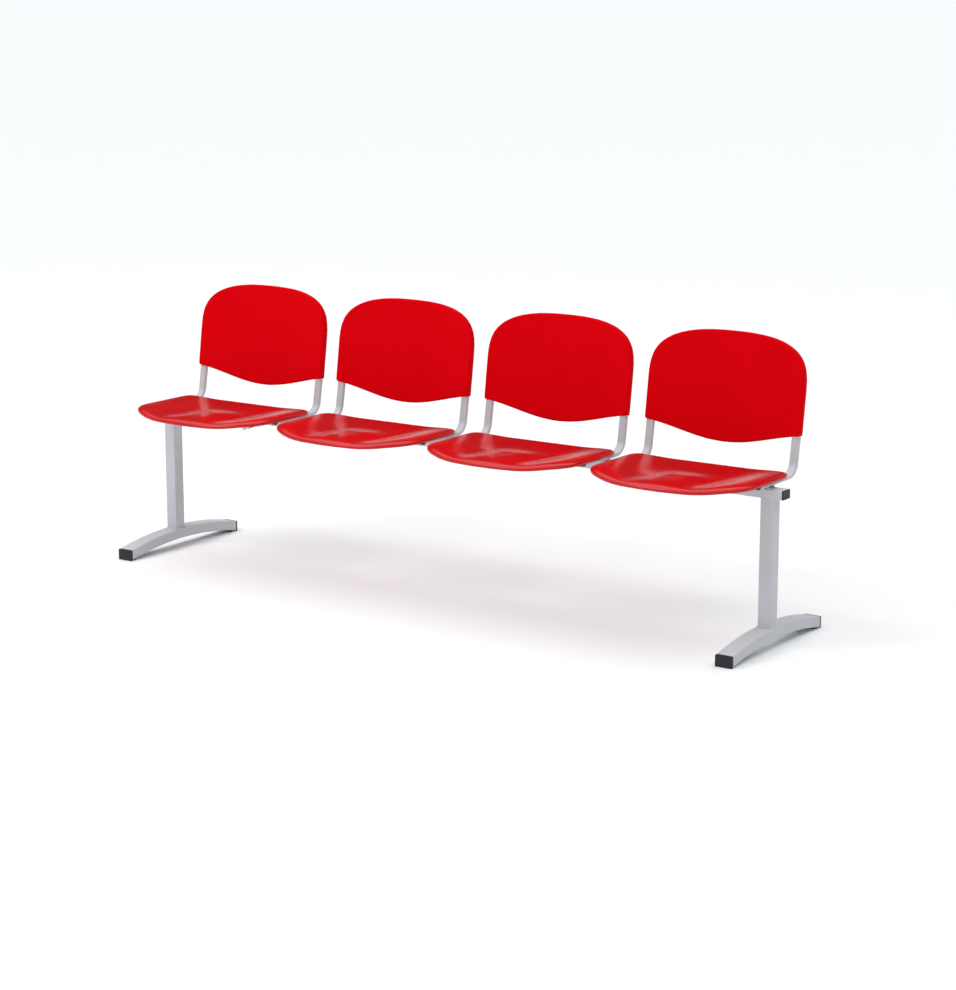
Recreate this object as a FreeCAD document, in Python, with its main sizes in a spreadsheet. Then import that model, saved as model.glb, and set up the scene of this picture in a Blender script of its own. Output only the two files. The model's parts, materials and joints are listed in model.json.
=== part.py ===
import FreeCAD, Part
import math
import os
import Sketcher

from FreeCAD import Placement, Rotation, Vector

# Beam seating with four places: two legs with short heads, one beam behind the
# heads, and four identical seats whose bracket plates join heads and beam.
# The origin is on the floor under the middle of the bench. +X runs along the
# beam to the sitter's left, +Y to the back, +Z up. Lengths are millimetres.

document = FreeCAD.newDocument("beam_seating")
sheet = document.addObject("Spreadsheet::Sheet", "Dims")

drivingSizes = [
    ("seat_pitch", 525, "distance between the middles of neighbouring seats"),
    ("seat_count", 4, "seats along the beam"),
    ("carrier_y", -14, "middle plane of both posts and of their heads"),
    ("beam_y", 50, "middle of the beam"),
    ("leg_x", 1012, "middle of each leg, out from the middle of the bench"),
    ("beam_length", 1880, "beam tube without its plugs"),
    ("head_outer", 1055, "outer end of a leg's head, out from the middle of the bench"),
    ("head_inner", 700, "inner end of that head"),
    ("beam_width", 40, "beam or head tube across"),
    ("beam_height", 25, "beam or head tube, top to bottom"),
    ("beam_under", 399.5, "underside of beam and heads above the floor"),
    ("beam_corner", 3, "outer corner radius of beam and heads"),
    ("tube_wall", 2, "wall of the beam, head, post and foot tubes"),
    ("cap_inset", 0.5, "how far a cap's head stays inside its tube's outline"),
    ("beam_cap_head", 4, "thickness of the visible end of a plug in those tubes"),
    ("cap_round", 1.2, "rounded rim of a cap's head"),
    ("plug_gap", 0.3, "clearance of a plug inside its tube"),
    ("plug_depth", 16, "how far a plug reaches into its tube"),
    ("plug_wall", 2, "wall of a hollow plug"),
    ("post_side", 38, "side of the square post tube"),
    ("post_corner", 3, "outer corner radius of the post"),
    ("nut_plate_thick", 8, "plate welded inside the top of each post"),
    ("foot_tube_half", 237, "half the length of the foot tube"),
    ("foot_width", 50, "foot tube across"),
    ("foot_depth", 30, "foot tube, top to bottom"),
    ("foot_rise", 25, "how much the middle of the foot arches up"),
    ("foot_corner", 3, "outer corner radius of the foot tube"),
    ("sole_thick", 2, "pad between the foot tube's end and the floor"),
    ("sole_width", 34, "pad across"),
    ("sole_length", 19, "pad's reach under the tube"),
    ("foot_cap_head", 8, "thickness of the foot cap's head"),
    ("frame_x", 220, "middle of a frame tube, out from the seat's middle"),
    ("oval_wide", 25, "flat oval frame tube, across the seat"),
    ("oval_thin", 12, "flat oval frame tube, the other way"),
    ("oval_wall", 1.5, "wall of the frame tube"),
    ("oval_plug_head", 3, "head of the plug in that tube's front end"),
    ("oval_plug_rim", 1, "how much narrower than the tube that head is"),
    ("rail_z", 436.5, "middle of the frame tube under the seat"),
    ("rail_front_y", -80, "front end of the frame tube"),
    ("upright_y", 131, "upright's middle at the back shell's lower corners"),
    ("corner_z", 539.6, "height of the back shell's lower corners"),
    ("upright_slope", 9.5, "degrees from vertical, below the back shell"),
    ("back_slope", 8.2, "degrees from vertical, inside the back shell"),
    ("knuckle_drop", 6, "corner of the tube's line, below the back shell's corners"),
    ("bend_radius", 38, "bend behind the seat, at the tube's middle"),
    ("knuckle_radius", 150, "slight bend where the tube enters the back shell"),
    ("upright_top", 128, "tube inside the back shell, above its lower corners"),
    ("bar_width", 25, "flat cross bar, front to back"),
    ("bar_thick", 5, "flat cross bar, top to bottom"),
    ("sink_radius", 8.3, "mouth of the bracket's countersinks"),
    ("sink_deep", 4.2, "depth of those countersinks"),
    ("cross_bar_y", -62, "middle of the cross bar"),
    ("rear_screw_y", 18, "seat screws through the bracket plate"),
    ("bracket_half", 214, "half the length of the bracket plate"),
    ("bracket_depth", 112, "bracket plate, front to back"),
    ("bracket_y", 18, "middle of the bracket plate"),
    ("bracket_thick", 6, "bracket plate, top to bottom"),
    ("bracket_bolt_x", 60, "bracket bolts, out from the seat's middle"),
    ("bracket_bolt_y", 10, "bracket bolts, each side of the beam's or head's middle"),
    ("leg_bolt_y", 9, "leg bolts, each side of the post's middle"),
    ("bolt_radius", 4, "shank of a beam or bracket bolt"),
    ("bolt_hole", 4.25, "clearance hole for that shank"),
    ("thread_gap", 0.05, "play of that shank in a thread"),
    ("dome_radius", 7, "head of a leg bolt"),
    ("dome_high", 4.4, "height of that head"),
    ("sink_head", 7.8, "head radius of a bracket bolt"),
    ("bolt_tail", 10.5, "end of a bracket bolt below beam or head"),
    ("washer_radius", 8, "washer under beam or head"),
    ("washer_thick", 1.6, "thickness of that washer"),
    ("nut_radius", 7.4, "nut under beam or head, across its corners"),
    ("nut_high", 6.5, "height of that nut"),
    ("seat_half", 239.5, "half the width of the seat shell"),
    ("seat_front", -238, "front edge of the seat shell"),
    ("seat_widest", -115, "where the seat's sides start to curve in"),
    ("seat_rear", 78, "rear edge of the seat shell"),
    ("seat_rim", 453.6, "top of the seat's side rims"),
    ("seat_edge", 12.5, "height of the seat's edge all round"),
    ("seat_wall", 4, "plastic of the seat shell"),
    ("seat_flange", 3.5, "plastic of its downturned edge"),
    ("trough_deep", 14, "depth of the seat's hollow"),
    ("trough_side", 162, "middle of the hollow's side slopes, out from its middle"),
    ("trough_splay", 0.12, "how much those slopes spread per millimetre rearwards"),
    ("trough_slope", 60, "half the width of those slopes"),
    ("trough_start", -100, "where the hollow's floor begins to rise rearwards"),
    ("trough_rear", 0.2, "share of the depth left at the seat's rear edge"),
    ("pommel_high", 9, "rise between the thighs, above the hollow"),
    ("pommel_side", 62, "middle of that rise's side slopes"),
    ("pommel_rear", -55, "middle of its rear slope"),
    ("pommel_slope", 35, "half the width of its slopes"),
    ("seat_lip", 13, "fall of the front lip at its middle"),
    ("front_wide", 2.2, "power of the seat's front curve, across"),
    ("front_long", 2.45, "power of the seat's front curve, lengthwise"),
    ("rear_square", 12.5, "power of the seat's squarish rear half"),
    ("notch_wide", 34, "notch in the seat's rear edge over a frame tube"),
    ("notch_deep", 12, "depth of that notch"),
    ("notch_gap", 0.6, "room between notch and tube"),
    ("boss_x", 180, "screw bosses, out from the seat's middle"),
    ("boss_radius", 8, "outer radius of a screw boss"),
    ("back_line_y", 128, "back shell's lower corners, middle of the edge"),
    ("back_half", 234.5, "half the width of the back shell"),
    ("back_tall", 254.6, "lower corners to the crown of the back shell"),
    ("back_side", 97.2, "height of the back shell's straight sides"),
    ("back_lobe", 41.6, "how far the lower edge dips in the middle"),
    ("crown_wide", 2.56, "power of the back's crown, across"),
    ("crown_high", 3.46, "power of the back's crown, upwards"),
    ("lobe_spread", 1.19, "width of the lobe's wave, as a share of the back's width"),
    ("back_sag", 22, "how far the middle of the back curves rearwards"),
    ("back_front", 10.5, "front face, ahead of the edge's middle line"),
    ("back_rear", 10.5, "edge's rear, behind the edge's middle line"),
    ("back_wall", 4, "plastic of the back shell"),
    ("back_blank", 200, "thickness of the stock that the back is shaped from"),
    ("rib_low", 70, "lower rib behind the back, above its lower corners"),
    ("rib_high", 150, "upper rib"),
    ("rib_thick", 2.5, "thickness of both ribs"),
    ("sleeve_top", 140, "top of the sleeves that take the uprights"),
    ("sleeve_rear", 11.5, "rear face of the sleeves"),
    ("sleeve_inner", 203, "inner side of the sleeves"),
    ("sleeve_gap", 0.4, "clearance between a sleeve and its tube"),
    ("screw_radius", 2.4, "shank of a seat or back screw"),
    ("screw_head", 4.5, "head radius of a seat or back screw"),
    ("screw_high", 2.6, "height of that head"),
    ("screw_gap", 0.3, "play of a seat screw in its bar or plate"),
    ("seat_bite", 12, "how far a seat screw reaches into its boss"),
    ("back_bite", 6, "length of a back screw"),
    ("back_screw_up", 62, "back screws, above the lower corners"),
]

for row, (alias, value, meaning) in enumerate(drivingSizes, start=1):
    sheet.set(f"A{row}", alias)
    sheet.set(f"B{row}", str(value))
    sheet.set(f"C{row}", meaning)
    sheet.setAlias(f"B{row}", alias)
document.recompute()


def size(alias):
    return float(sheet.get(alias))


def cell(expression):
    """Spell every alias of an expression as a reference to the sheet."""
    words = expression.replace("(", " ( ").replace(")", " ) ").split()
    aliases = {alias for alias, _, _ in drivingSizes}
    return " ".join(f"Dims.{word}" if word in aliases else word for word in words)


# Building blocks: bodies, sketches and the features made from them.

def newBody(label):
    body = document.addObject("PartDesign::Body", label)
    body.Label = label
    return body


def sketchOn(body, role, name, offset=0.0):
    """A sketch on one of the body's own origin planes, moved along its normal."""
    plane = [item for item in body.Origin.OriginFeatures if item.Role == role][0]
    sketch = body.newObject("Sketcher::SketchObject", name)
    sketch.AttachmentSupport = [(plane, "")]
    sketch.MapMode = "FlatFace"
    sketch.AttachmentOffset = Placement(Vector(0, 0, offset), Rotation())
    return sketch


def bindLength(sketch, number, name, expression):
    sketch.renameConstraint(number, name)
    sketch.setExpression(f"Constraints.{name}", cell(expression))


def addRectangle(sketch, width, height, low, name="box"):
    """A rectangle centred on the sketch's vertical axis, standing at height low."""
    corners = [Vector(-5, 1, 0), Vector(5, 1, 0), Vector(5, 4, 0), Vector(-5, 4, 0)]
    first = sketch.GeometryCount
    for start, end in zip(corners, corners[1:] + corners[:1]):
        sketch.addGeometry(Part.LineSegment(start, end), False)
    for step in range(4):
        after = first + (step + 1) % 4
        sketch.addConstraint(Sketcher.Constraint("Coincident", first + step, 2, after, 1))
        if step:
            direction = "Horizontal" if step == 2 else "Vertical"
            sketch.addConstraint(Sketcher.Constraint(direction, first + step))
    sketch.addConstraint(Sketcher.Constraint("Symmetric", first, 1, first, 2, -2))
    for side, word, expression in ((0, "Width", width), (1, "Height", height)):
        number = sketch.addConstraint(
            Sketcher.Constraint("Distance", first + side, 3.0 + side))
        bindLength(sketch, number, name + word, expression)
    number = sketch.addConstraint(
        Sketcher.Constraint("DistanceY", -1, 1, first, 1, 1.0))
    bindLength(sketch, number, name + "Low", low)


def addCircle(sketch, radius, across, along, name):
    """A circle whose centre is given by two expressions."""
    turn = sketch.GeometryCount
    sketch.addGeometry(Part.Circle(Vector(7, 7, 0), Vector(0, 0, 1), 2), False)
    number = sketch.addConstraint(Sketcher.Constraint("Radius", turn, 2.0))
    bindLength(sketch, number, name + "Radius", radius)
    number = sketch.addConstraint(Sketcher.Constraint("DistanceX", -1, 1, turn, 3, 7.0))
    bindLength(sketch, number, name + "Across", across)
    number = sketch.addConstraint(Sketcher.Constraint("DistanceY", -1, 1, turn, 3, 7.0))
    bindLength(sketch, number, name + "Along", along)


def addLoop(sketch, edges):
    """A closed outline given edge by edge, each as a curve with two ends."""
    for edge in edges:
        sketch.addGeometry(edge, False)


def addPolygon(sketch, points):
    vectors = [Vector(across, up, 0) for across, up in points]
    addLoop(sketch, [Part.LineSegment(start, end)
                     for start, end in zip(vectors, vectors[1:] + vectors[:1])])


def pad(body, sketch, length, name, symmetric=True, reverse=False):
    feature = body.newObject("PartDesign::Pad", name)
    feature.Profile = sketch
    feature.SideType = "Symmetric" if symmetric else "One side"
    feature.Reversed = reverse
    feature.setExpression("Length", cell(length))
    document.recompute()
    return feature


def pocket(body, sketch, length, name, symmetric=True, reverse=False):
    """A pocket, checked to have taken something away."""
    before = body.Shape.Volume
    feature = body.newObject("PartDesign::Pocket", name)
    feature.Profile = sketch
    feature.SideType = "Symmetric" if symmetric else "One side"
    feature.Reversed = reverse
    feature.setExpression("Length", cell(length))
    document.recompute()
    if feature.Shape.Volume > before - 1e-3:
        raise RuntimeError(f"{body.Label}: {name} cuts nothing")
    return feature


def roundEdges(body, radius, name, wanted):
    """Round those edges of the body's last feature that the test wants."""
    tip = body.Tip
    names = [f"Edge{number}" for number, edge in enumerate(tip.Shape.Edges, start=1)
             if wanted(edge)]
    feature = body.newObject("PartDesign::Fillet", name)
    feature.Base = (tip, names)
    feature.setExpression("Radius", cell(radius))
    document.recompute()
    return feature


def runsAlong(axis, length):
    """A test for straight edges along one axis that are at least so long."""
    def test(edge):
        if edge.Curve.TypeId != "Part::GeomLine" or edge.Length < length:
            return False
        ends = edge.Vertexes[1].Point - edge.Vertexes[0].Point
        return abs(ends.normalize().dot(axis)) > 0.999
    return test


def place(item, across=0.0, along=0.0, up=0.0, turn=None):
    item.Placement = Placement(Vector(across, along, up), turn or Rotation())


subparts = []


def keep(item):
    """Note a finished sub-part, whose label names its file."""
    subparts.append(item)
    return item


def group(label, shapes, across=0.0, along=0.0, up=0.0, turn=None):
    """Identical fasteners that share one node, each a solid of its own."""
    item = document.addObject("Part::Feature", label)
    item.Label = label
    item.Shape = Part.makeCompound(shapes)
    place(item, across, along, up, turn)
    return keep(item)


# Beam, and the heads of the legs

def buildRail(label, length, holes, across, along):
    """A rectangular tube along X, with upright holes given as (radius, across, row)."""
    body = newBody(label)
    outline = sketchOn(body, "YZ_Plane", "rail_outline")
    addRectangle(outline, "beam_width", "beam_height", "0")
    pad(body, outline, length, "rail_stock")
    roundEdges(body, "beam_corner", "rail_corners", runsAlong(Vector(1, 0, 0), 100))
    bore = sketchOn(body, "YZ_Plane", "rail_bore")
    addRectangle(bore, "beam_width - 2 * tube_wall", "beam_height - 2 * tube_wall", "tube_wall")
    pocket(body, bore, "2 * head_outer", "rail_hollow")
    drilling = sketchOn(body, "XY_Plane", "rail_holes")
    for number, (radius, middle, row) in enumerate(holes):
        addCircle(drilling, radius, middle, row, f"hole{number}")
    pocket(body, drilling, "beam_height + 10", "rail_drillings", symmetric=False, reverse=True)
    place(body, across, along, size("beam_under"))
    keep(body)


def buildBeam():
    holes = []
    for seat in range(int(size("seat_count"))):
        middle = seat - (size("seat_count") - 1) / 2
        for side in (-1, 1):
            for row in (-1, 1):
                across = f"{middle} * seat_pitch + {side} * bracket_bolt_x"
                holes.append(("bolt_hole", across, f"{row} * bracket_bolt_y"))
    buildRail("beam", "beam_length", holes, 0, size("beam_y"))


def buildHead(label, side):
    """The tube on top of a post, which the outer seat's bracket plate lies on."""
    inward = "- 0.5 * head_outer - 0.5 * head_inner"
    holes = []
    for row in (-1, 1):
        holes.append(("bolt_hole", f"{side} * ( leg_x {inward} )", f"{row} * leg_bolt_y"))
        for bolt in (-1, 1):
            seat = f"{side} * ( ( seat_count - 1 ) * 0.5 * seat_pitch {inward} )"
            holes.append(("bolt_hole", f"{seat} + {bolt} * bracket_bolt_x",
                          f"{row} * bracket_bolt_y"))
    middle = (size("head_outer") + size("head_inner")) / 2
    buildRail(label, "head_outer - head_inner", holes, side * middle, size("carrier_y"))


def makeRailPlug(label):
    """A square plug with a rounded visible end, for the end of a tube that points along X."""
    body = newBody(label)
    head = sketchOn(body, "YZ_Plane", "cap_head")
    addRectangle(head, "beam_width - 2 * cap_inset", "beam_height - 2 * cap_inset", "cap_inset")
    pad(body, head, "beam_cap_head", "cap_disc", symmetric=False)
    roundEdges(body, "beam_corner - cap_inset", "cap_corners", runsAlong(Vector(1, 0, 0), 1))
    roundEdges(body, "cap_round", "cap_softened",
               lambda edge: edge.BoundBox.XMin > size("beam_cap_head") - 0.01)
    plug = sketchOn(body, "YZ_Plane", "cap_plug")
    inside = "2 * tube_wall - 2 * plug_gap"
    addRectangle(plug, f"beam_width - {inside}", f"beam_height - {inside}",
                 "tube_wall + plug_gap")
    pad(body, plug, "plug_depth", "cap_tongue", symmetric=False, reverse=True)
    hollow = sketchOn(body, "YZ_Plane", "cap_hollow")
    inside = "2 * tube_wall - 2 * plug_gap - 2 * plug_wall"
    addRectangle(hollow, f"beam_width - {inside}", f"beam_height - {inside}",
                 "tube_wall + plug_gap + plug_wall")
    pocket(body, hollow, "plug_depth + 1", "cap_core", symmetric=False)
    return body


def turned(side):
    return Rotation(Vector(0, 0, 1), 0 if side > 0 else 180)


def buildHeadCap(label, side):
    body = makeRailPlug(label)
    place(body, side * size("head_outer"), size("carrier_y"), size("beam_under"), turned(side))
    keep(body)


def buildRailPlugs(label):
    """The same plugs in the beam's ends and in the heads' inner ends."""
    body = makeRailPlug("rail_plug_pattern")
    pattern = body.Shape.copy()
    body.removeObjectsFromDocument()
    document.removeObject(body.Name)
    plugs = []
    for side in (-1, 1):
        for across, along, facing in ((size("beam_length") / 2, size("beam_y"), side),
                                      (size("head_inner"), size("carrier_y"), -side)):
            plug = pattern.copy()
            plug.Placement = Placement(Vector(side * across, along, 0), turned(facing))
            plugs.append(plug)
    group(label, plugs, up=size("beam_under"))


# Legs

def footArc(offset):
    """Ends and top of the foot's arch: a circle through the tube's two ends and its crown."""
    half = size("foot_tube_half")
    low = size("sole_thick") + offset
    return (Vector(-half, low, 0), Vector(0, low + size("foot_rise"), 0), Vector(half, low, 0))


def archBand(lower, upper, reach=0.0):
    """The band between two copies of the arch, with upright ends."""
    start, crown, end = footArc(lower)
    startUp, crownUp, endUp = footArc(upper)
    out = Vector(reach, -reach * 2 * size("foot_rise") / size("foot_tube_half"), 0)
    back = Vector(-out.x, out.y, 0)
    edges = [Part.Arc(start, crown, end), Part.Arc(startUp, crownUp, endUp)]
    if reach:
        for tail, tip in ((end, end + out), (endUp, endUp + out),
                          (start, start + back), (startUp, startUp + back)):
            edges.append(Part.LineSegment(tail, tip))
        edges.append(Part.LineSegment(end + out, endUp + out))
        edges.append(Part.LineSegment(start + back, startUp + back))
    else:
        edges.append(Part.LineSegment(end, endUp))
        edges.append(Part.LineSegment(start, startUp))
    return edges


def buildFoot(label, side):
    body = newBody(label)
    outline = sketchOn(body, "YZ_Plane", "foot_outline")
    addLoop(outline, archBand(0.0, size("foot_depth")))
    pad(body, outline, "foot_width", "foot_stock")
    roundEdges(body, "foot_corner", "foot_corners", lambda edge: edge.Length > 100)
    bore = sketchOn(body, "YZ_Plane", "foot_bore")
    addLoop(bore, archBand(size("tube_wall"), size("foot_depth") - size("tube_wall"), 3.0))
    pocket(body, bore, "foot_width - 2 * tube_wall", "foot_hollow")
    place(body, side * size("leg_x"))
    keep(body)


def buildFootCap(label, side, end):
    """A cap with a head, a plug inside the tube and a pad that meets the floor."""
    body = newBody(label)
    head = sketchOn(body, "YZ_Plane", "foot_cap_head")
    half, thick = size("foot_tube_half"), size("foot_cap_head")
    top = size("sole_thick") + size("foot_depth") - size("cap_inset")
    addPolygon(head, [(half, 0), (half + thick, 0), (half + thick, top), (half, top)])
    pad(body, head, "foot_width - 2 * cap_inset", "foot_cap_plate")
    roundEdges(body, "foot_corner - cap_inset", "foot_cap_corners",
               runsAlong(Vector(0, 1, 0), 1))
    roundEdges(body, "cap_round", "foot_cap_softened",
               lambda edge: edge.BoundBox.YMin > half + thick - 0.01)
    sole = sketchOn(body, "YZ_Plane", "foot_cap_sole")
    padBack = half - size("sole_length")
    addPolygon(sole, [(padBack, 0), (half + thick / 2, 0),
                      (half + thick / 2, size("sole_thick")), (padBack, size("sole_thick"))])
    pad(body, sole, "sole_width", "foot_cap_pad")
    plug = sketchOn(body, "YZ_Plane", "foot_cap_plug")
    slope = 2 * size("foot_rise") / half
    slack = size("tube_wall") + 1.0
    low = size("sole_thick") + slack
    high = size("sole_thick") + size("foot_depth") - slack
    reach = size("plug_depth")
    addPolygon(plug, [(half - reach, low + slope * reach), (half + 1, low),
                      (half + 1, high), (half - reach, high + slope * reach)])
    pad(body, plug, "foot_width - 2 * tube_wall - 2 * plug_gap", "foot_cap_tongue")
    turn = Rotation(Vector(0, 0, 1), 0 if end > 0 else 180)
    place(body, side * size("leg_x"), 0, 0, turn)
    keep(body)


def buildPost(label, side):
    """A square tube, coped at the bottom to sit on the arch of the foot."""
    body = newBody(label)
    outline = sketchOn(body, "XY_Plane", "post_outline")
    addRectangle(outline, "post_side", "post_side", "-0.5 * post_side")
    pad(body, outline, "beam_under", "post_stock", symmetric=False)
    roundEdges(body, "post_corner", "post_corners", runsAlong(Vector(0, 0, 1), 100))
    bore = sketchOn(body, "XY_Plane", "post_bore")
    addRectangle(bore, "post_side - 2 * tube_wall", "post_side - 2 * tube_wall",
                 "-0.5 * post_side + tube_wall")
    pocket(body, bore, "beam_under + 10", "post_hollow", symmetric=False, reverse=True)
    cope = sketchOn(body, "YZ_Plane", "post_cope")
    start, crown, end = footArc(size("foot_depth"))
    shift = Vector(size("carrier_y"), 0, 0)
    start, crown, end = start - shift, crown - shift, end - shift
    down = Vector(0, -size("foot_depth") - 20, 0)
    addLoop(cope, [Part.Arc(start, crown, end), Part.LineSegment(end, end + down),
                   Part.LineSegment(end + down, start + down),
                   Part.LineSegment(start + down, start)])
    pocket(body, cope, "post_side + 10", "post_cope_cut")
    place(body, side * size("leg_x"), size("carrier_y"))
    keep(body)


def buildNutPlate(label, side):
    """A tapped plate welded inside the top of a post, which the leg bolts pull on."""
    body = newBody(label)
    outline = sketchOn(body, "XY_Plane", "nut_plate_outline")
    across = "post_side - 2 * tube_wall - 2 * thread_gap"
    addRectangle(outline, across, across, "thread_gap + tube_wall - 0.5 * post_side")
    pad(body, outline, "nut_plate_thick", "nut_plate_stock", symmetric=False)
    holes = sketchOn(body, "XY_Plane", "nut_plate_holes")
    for row in (-1, 1):
        addCircle(holes, "bolt_radius + thread_gap", "0", f"{row} * leg_bolt_y", f"tap{row + 1}")
    pocket(body, holes, "nut_plate_thick + 1", "nut_plate_taps", symmetric=False, reverse=True)
    place(body, side * size("leg_x"), size("carrier_y"),
          size("beam_under") - size("nut_plate_thick"))
    keep(body)


def domeBolt(length, radius, headRadius, headHeight):
    """A round-headed bolt: head above the origin, shank below, hexagon socket in the head."""
    bevel = headHeight * 0.45
    profile = [(0, headHeight), (headRadius - bevel, headHeight), (headRadius, headHeight - bevel),
               (headRadius, 0), (radius, 0), (radius, 1 - length), (radius - 1, -length),
               (0, -length)]
    points = [Vector(across, 0, up) for across, up in profile]
    outline = Part.Face(Part.makePolygon(points + points[:1]))
    solid = outline.revolve(Vector(0, 0, 0), Vector(0, 0, 1), 360)
    return solid.cut(hexagon(radius * 0.62, headHeight, headHeight * 0.4))


def countersunkBolt(length, radius, headRadius, headHeight):
    """A flat-headed bolt whose head fills a cone below the origin."""
    profile = [(0, 0), (headRadius, 0), (headRadius, -0.4), (radius, -headHeight),
               (radius, 1 - length), (radius - 1, -length), (0, -length)]
    points = [Vector(across, 0, up) for across, up in profile]
    outline = Part.Face(Part.makePolygon(points + points[:1]))
    solid = outline.revolve(Vector(0, 0, 0), Vector(0, 0, 1), 360)
    return solid.cut(hexagon(radius * 0.6, 0.1, -2.2))


def hexagon(radius, top, bottom):
    """A six-sided prism between two heights, for sockets and nuts."""
    corners = [Vector(radius * math.cos(math.radians(60 * step)),
                      radius * math.sin(math.radians(60 * step)), bottom) for step in range(7)]
    return Part.Face(Part.makePolygon(corners)).extrude(Vector(0, 0, top - bottom))


def hexNut(radius, height, bore):
    """A six-sided nut with its top at the origin."""
    return hexagon(radius, 0, -height).cut(
        Part.makeCylinder(bore, height + 2, Vector(0, 0, -height - 1)))


def buildLegBolts(label, side):
    length = size("beam_height") + size("nut_plate_thick")
    bolts = []
    for row in (-1, 1):
        bolt = domeBolt(length, size("bolt_radius"), size("dome_radius"), size("dome_high"))
        bolt.translate(Vector(0, row * size("leg_bolt_y"), 0))
        bolts.append(bolt)
    group(label, bolts, side * size("leg_x"), size("carrier_y"),
          size("beam_under") + size("beam_height"))


# Seat frame

def flatOval(wide, thin):
    """A flat oval about the origin: two straight sides and two half circles."""
    flat, end = (wide - thin) / 2, thin / 2
    left, right = Vector(-flat, end, 0), Vector(flat, end, 0)
    leftLow, rightLow = Vector(-flat, -end, 0), Vector(flat, -end, 0)
    return [Part.LineSegment(left, right),
            Part.Arc(right, Vector(flat + end, 0, 0), rightLow),
            Part.LineSegment(rightLow, leftLow),
            Part.Arc(leftLow, Vector(-flat - end, 0, 0), left)]


def bendBetween(before, corner, after, radius):
    """Where a bend of one radius leaves and joins the two straight runs at a corner."""
    inward, outward = (before - corner).normalize(), (after - corner).normalize()
    half = inward.getAngle(outward) / 2
    reach = radius / math.tan(half)
    start, end = corner + inward * reach, corner + outward * reach
    middle = corner + (inward + outward).normalize() * (radius / math.sin(half) - radius)
    return start, middle, end


def framePath():
    """The tube's middle line, seen from the side: rail, bend, upright, knuckle, top."""
    lean, recline = math.radians(size("upright_slope")), math.radians(size("back_slope"))
    fall = size("knuckle_drop")
    knuckle = Vector(size("upright_y") - fall * math.tan(lean), size("corner_z") - fall, 0)
    drop = knuckle.y - size("rail_z")
    elbow = Vector(knuckle.x - drop * math.tan(lean), size("rail_z"), 0)
    front = Vector(size("rail_front_y"), size("rail_z"), 0)
    rise = size("upright_top") + fall
    top = knuckle + Vector(math.sin(recline), math.cos(recline), 0) * rise
    return front, elbow, knuckle, top


def sleeveTube():
    """How far the tube's middle lies behind the middle line of the back shell's edge."""
    _, _, knuckle, _ = framePath()
    recline = math.radians(size("back_slope"))
    behind, below = knuckle.x - size("back_line_y"), size("corner_z") - knuckle.y
    return behind * math.cos(recline) + below * math.sin(recline)


def buildFrameTube(label, across):
    body = newBody(label)
    front, elbow, knuckle, top = framePath()
    bendStart, bendMiddle, bendEnd = bendBetween(front, elbow, knuckle, size("bend_radius"))
    turnStart, turnMiddle, turnEnd = bendBetween(elbow, knuckle, top, size("knuckle_radius"))
    path = sketchOn(body, "YZ_Plane", "tube_path")
    addLoop(path, [Part.LineSegment(front, bendStart),
                   Part.Arc(bendStart, bendMiddle, bendEnd),
                   Part.LineSegment(bendEnd, turnStart),
                   Part.Arc(turnStart, turnMiddle, turnEnd),
                   Part.LineSegment(turnEnd, top)])
    section = sketchOn(body, "XZ_Plane", "tube_section", -front.x)
    wide, thin, wall = size("oval_wide"), size("oval_thin"), size("oval_wall")
    rings = flatOval(wide, thin) + flatOval(wide - 2 * wall, thin - 2 * wall)
    for edge in rings:
        edge.translate(Vector(0, front.y, 0))
    addLoop(section, rings)
    start = backTurn().multVec(Vector(0, sleeveTube() + wall, size("back_screw_up")))
    pipe = body.newObject("PartDesign::AdditivePipe", "tube_run")
    pipe.Profile = section
    pipe.Spine = (path, [f"Edge{number}" for number in range(1, 6)])
    document.recompute()
    hole = body.newObject("PartDesign::SubtractiveCylinder", "screw_hole")
    hole.setExpression("Radius", cell("screw_radius + thread_gap"))
    hole.setExpression("Height", cell("oval_thin"))
    place(hole, 0, size("back_line_y") + start.y, size("corner_z") + start.z,
          Rotation(Vector(1, 0, 0), -90 - size("back_slope")))
    document.recompute()
    if body.Shape.Volume > pipe.Shape.Volume - 1.0:
        raise RuntimeError(f"{label}: no screw hole")
    place(body, across)
    keep(body)


def buildTubePlugs(label, across):
    """Plastic plugs in the front ends of the two frame tubes."""
    plugs = []
    wide, thin, rim = size("oval_wide"), size("oval_thin"), size("oval_plug_rim")
    inside = 2 * size("oval_wall") + size("sleeve_gap")
    for side in (-1, 1):
        head = ovalPrism(wide - rim, thin - rim, 0.0, -size("oval_plug_head"))
        tongue = ovalPrism(wide - inside, thin - inside, 0.0, size("plug_depth"))
        plug = head.fuse(tongue).removeSplitter()
        plug.translate(Vector(side * size("frame_x"), 0, 0))
        plugs.append(plug)
    group(label, plugs, across, size("rail_front_y"), size("rail_z"))


def ovalPrism(wide, thin, start, end):
    """A flat oval prism along Y between two places."""
    edges = [curve.toShape() for curve in flatOval(wide, thin)]
    face = Part.Face(Part.Wire(edges))
    face.rotate(Vector(0, 0, 0), Vector(1, 0, 0), 90)
    face.translate(Vector(0, start, 0))
    return face.extrude(Vector(0, end - start, 0))


def barTop():
    """The bars and the bracket meet the frame tubes' undersides."""
    return size("rail_z") - size("oval_thin") / 2


def buildCrossBar(label, across):
    """A flat bar welded under the frame tubes, which the seat's front screws go through."""
    body = newBody(label)
    outline = sketchOn(body, "YZ_Plane", "bar_outline")
    addRectangle(outline, "bar_width", "bar_thick", "0")
    pad(body, outline, "2 * bracket_half", "bar_stock")
    holes = sketchOn(body, "XY_Plane", "bar_holes")
    for side in (-1, 1):
        addCircle(holes, "screw_radius + screw_gap", f"{side} * boss_x", "0", f"hole{side + 1}")
    pocket(body, holes, "bar_thick + 1", "bar_drillings", symmetric=False, reverse=True)
    place(body, across, size("cross_bar_y"), barTop() - size("bar_thick"))
    keep(body)


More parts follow.
